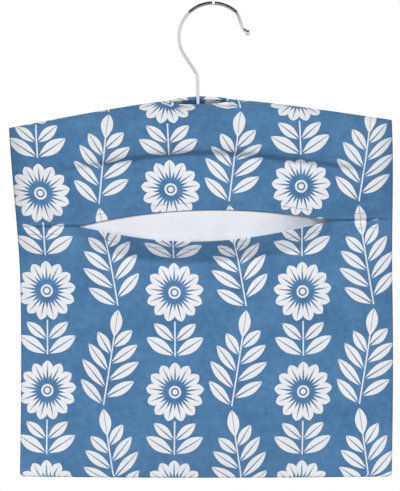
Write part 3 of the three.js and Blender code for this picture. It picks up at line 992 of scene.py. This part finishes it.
def in_plane(x, z):
    """Points near the bag's middle plane, where its front and back are sewn together."""
    return lay(lambda a, b: 0 * a, 1, x / half_width(z), z)


def trimmed_strip(name, outer, inner):
    """Two layers of cloth as one strip between two lines of points."""
    share = np.linspace(0, 1, seam_rows)[:, None]
    wave = seam_wave * ripple(np.linspace(0, seam_wave_run, len(outer)), 1.3)
    face = outer[None] + (inner - outer)[None] * share[..., None]
    face[..., 1] = -seam_thickness / 2 + wave[None] * share
    if face_normals(face)[0, 0, 1] > 0:  # the face has to look forward
        face = face[:, ::-1]
    behind = face + (0, seam_thickness, 0)
    piece = cloth_mesh(name, face, behind, run_along(outer)[None], share * seam_width)
    seam_cloth.on(piece)
    return piece


def whipping(name, outer, inner):
    """Thread wound over the raw inner edge of a strip."""
    along = run_along(outer)
    turns = along[-1] / whip_pitch
    angle = np.linspace(0, 2 * math.pi * turns, int(turns * whip_points))
    place = np.linspace(0, along[-1], len(angle))
    raw_edge = np.stack([np.interp(place, along, line) for line in inner.T], axis=-1)
    sewn_line = np.stack([np.interp(place, along, line) for line in outer.T], axis=-1)
    set_in = whip_middle - whip_half * np.cos(angle)
    route = raw_edge + unit(sewn_line - raw_edge) * set_in[:, None]
    route[:, 1] = (seam_thickness / 2 + whip_stand) * np.sin(angle)
    piece = lofted(name, [swept_thread(route)])
    thread_finish.on(piece)
    return piece


seam_insets = (seam_start, seam_start + seam_width)
side_z = np.linspace(bottom_z + side_foot, taper_top - side_head, seam_points)
ridge_x = np.linspace(gap_half + ridge_start, shoulder_half - side_reach, seam_points)
bottom_x = np.linspace(side_reach - bottom_half, bottom_half - side_reach, seam_points)
seam_lines = {}
for name, side in (("left", -1), ("right", 1)):
    seam_lines[f"{name}_side"] = [
        in_plane(side * (half_width(side_z) - inset), side_z) for inset in seam_insets]
    seam_lines[f"{name}_top"] = [
        in_plane(side * ridge_x, ridge_z(ridge_x) - inset) for inset in seam_insets]
seam_lines["bottom"] = [
    in_plane(bottom_x, np.full(seam_points, bottom_z + inset)) for inset in seam_insets]
for name, lines in seam_lines.items():
    strip = trimmed_strip(f"{name}_allowance", *lines)
    thread = whipping(f"{name}_allowance_whipping", *lines)
    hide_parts(f"{name}_seam")
    for made in (strip, thread):
        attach(made, "bag")


# Topstitching: a line of blue thread along each lip of the mouth, through the cloth, its turned-in edge
# and the lining. Each stitch stands a little proud and dives through the cloth at its ends.

stitch_offset = 0.0066  # from the lip to the stitched line
stitch_length = 0.0026
stitch_gap = 0.0005
stitch_rise = 0.00022
stitch_sink = 0.00012
stitch_rings = 7
stitch_margin = 0.006  # from the side seams
slope_step = 0.0005  # how far above and below a stitch the slope of the cloth is taken


def topstitch(name, depth, lip, up):
    """Stitches along a lip of the mouth, set back from it, up or down."""
    reach = bottom_half - stitch_margin
    pitch = stitch_length + stitch_gap
    share = np.linspace(0, 1, stitch_rings)
    proud = stitch_rise * np.sin(math.pi * share) - stitch_sink
    tubes = []
    for k in range(int(2 * reach / pitch)):
        x = k * pitch - reach + stitch_length * share
        z = lip(x) + up * stitch_offset
        near = np.stack([z - slope_step, z, z + slope_step])
        face = lay(depth, -1, x[None] / half_width(near), near)
        tubes.append(swept_thread(face[1] + face_normals(face)[1] * proud[:, None]))
    piece = lofted(name, tubes)
    thread_finish.on(piece)
    return piece


yoke_stitches = topstitch("yoke_topstitch", yoke_depth, upper_lip, 1)
front_stitches = topstitch("front_topstitch", front_depth, lower_lip, -1)
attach(yoke_stitches, "bag")
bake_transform(front_stitches)


# The linings of the yoke and the front have no turned-in edge at the mouth.


# Studio: a pale floor under the hanging bag, a white surround, and broad soft lamps above and before it.
# The hook also mirrors two dark boards above it and two small cards close before its crown, which the
# camera doesn't see.

frame_height = 0.4488  # what the picture's height spans at the bag
camera_distance = 2.6
camera_roll = math.radians(1.2)
camera_centre = Vector((-0.0157, 0.0, -0.2195))
floor_drop = 0.45  # from the bottom of the bag
floor_half = 0.8
board_height = 0.62
board_profile = [(-2.2, 0.25), (-2.0, board_height), (0.9, board_height), (1.3, 0.25)]
board_faces = [(0, 1, 3, 2), (2, 3, 5, 4), (4, 5, 7, 6)]
card_depth = -0.020
card_radii = (0.008, 0.050)  # from the centre of the crown
left_leans = np.radians((1, -40))  # from upright to the edges of a board and of its card
right_leans = np.radians((4, 46))
white = (1.0, 1.0, 1.0, 1.0)
seen_strength = 1.0  # of the surround, as the camera and the chrome see it
lit_strength = 0.08  # and as it lights the cloth

camera_data = bpy.data.cameras.new("camera")
camera_data.sensor_width = 36.0
camera_data.lens = camera_data.sensor_width * camera_distance / frame_height
camera = bpy.data.objects.new("camera", camera_data)
camera.location = camera_centre + Vector((0, -camera_distance, 0))
camera.rotation_euler = (math.pi / 2, camera_roll, 0)
bpy.context.scene.collection.objects.link(camera)
bpy.context.scene.camera = camera


def mottled(name, roughness, scale, dark, light):
    """A matt surface, with soft patches between two colours."""
    finish = Finish(name, {"Roughness": roughness})
    patches = finish.noise(finish.spot(), scale)
    finish.set({"Base Color": finish.mix(patches, dark, light)})
    return finish


floor_square = floor_half * np.array([(-1, -1, 0), (1, -1, 0), (1, 1, 0), (-1, 1, 0)])
floor = new_piece("floor", floor_square + (middle_x, 0, bottom_z - floor_drop), [(0, 1, 2, 3)])
mottled("studio_floor", 0.9, 3.0, (238, 238, 238), (246, 246, 246)).on(floor)

board_finish = mottled("black_board", 0.95, 4.0, (30, 30, 31), (48, 48, 50))
card_finish = mottled("grey_card", 0.95, 40.0, (140, 140, 142), (160, 160, 162))
for name, leans in (("left", left_leans), ("right", right_leans)):
    edges = [(board_height * math.tan(lean), y, z) for y, z in board_profile for lean in leans]
    board = new_piece(f"{name}_board", edges, board_faces)
    board_finish.on(board)
    spokes = [1j * cmath.rect(radius, -lean) for radius in card_radii for lean in leans]
    corners = [(corner.real, card_depth, corner.imag) for corner in crown_centre + np.array(spokes)]
    card = new_piece(f"{name}_card", corners, [(0, 1, 3, 2)])
    card_finish.on(card)
    for made in (board, card):
        made.visible_camera = False
        made.visible_diffuse = False
        made.visible_shadow = False

for name, place, size, power, mirrored in [
    ("key_lamp", (1.256, -7.2, 4.02), 2.92, 552, True),
    ("front_lamp", (-1.0, -2.2, -0.5), 0.7, 13.5, False),
    ("back_lamp", (0.4, 1.8, 1.2), 1.2, 34, False),
]:
    lamp_data = bpy.data.lights.new(name, "AREA")
    lamp_data.size = size
    lamp_data.energy = power
    lamp = bpy.data.objects.new(name, lamp_data)
    lamp.location = place
    lamp.rotation_euler = (camera_centre - Vector(place)).to_track_quat("-Z", "Y").to_euler()
    lamp.visible_glossy = mirrored
    bpy.context.scene.collection.objects.link(lamp)

surround = NodeTree(bpy.data.worlds.new("surround"))
path = surround.node("ShaderNodeLightPath", {}, {})
seen = path.output("Is Camera Ray").joined(path.output("Is Glossy Ray"))
as_seen = surround.node("ShaderNodeBackground", {}, {"Color": white, "Strength": seen_strength})
world_nodes = surround.owner.node_tree.nodes
surround.fill(world_nodes["Background"], {"Color": white, "Strength": lit_strength})
as_light = Field(surround, world_nodes["Background"].outputs[0])
chosen = surround.node("ShaderNodeMixShader", {}, {"Fac": seen, 1: as_light, 2: as_seen})
surround.fill(world_nodes["World Output"], {"Surface": chosen})
bpy.context.scene.world = surround.owner

bpy.context.scene.view_settings.view_transform = "Standard"
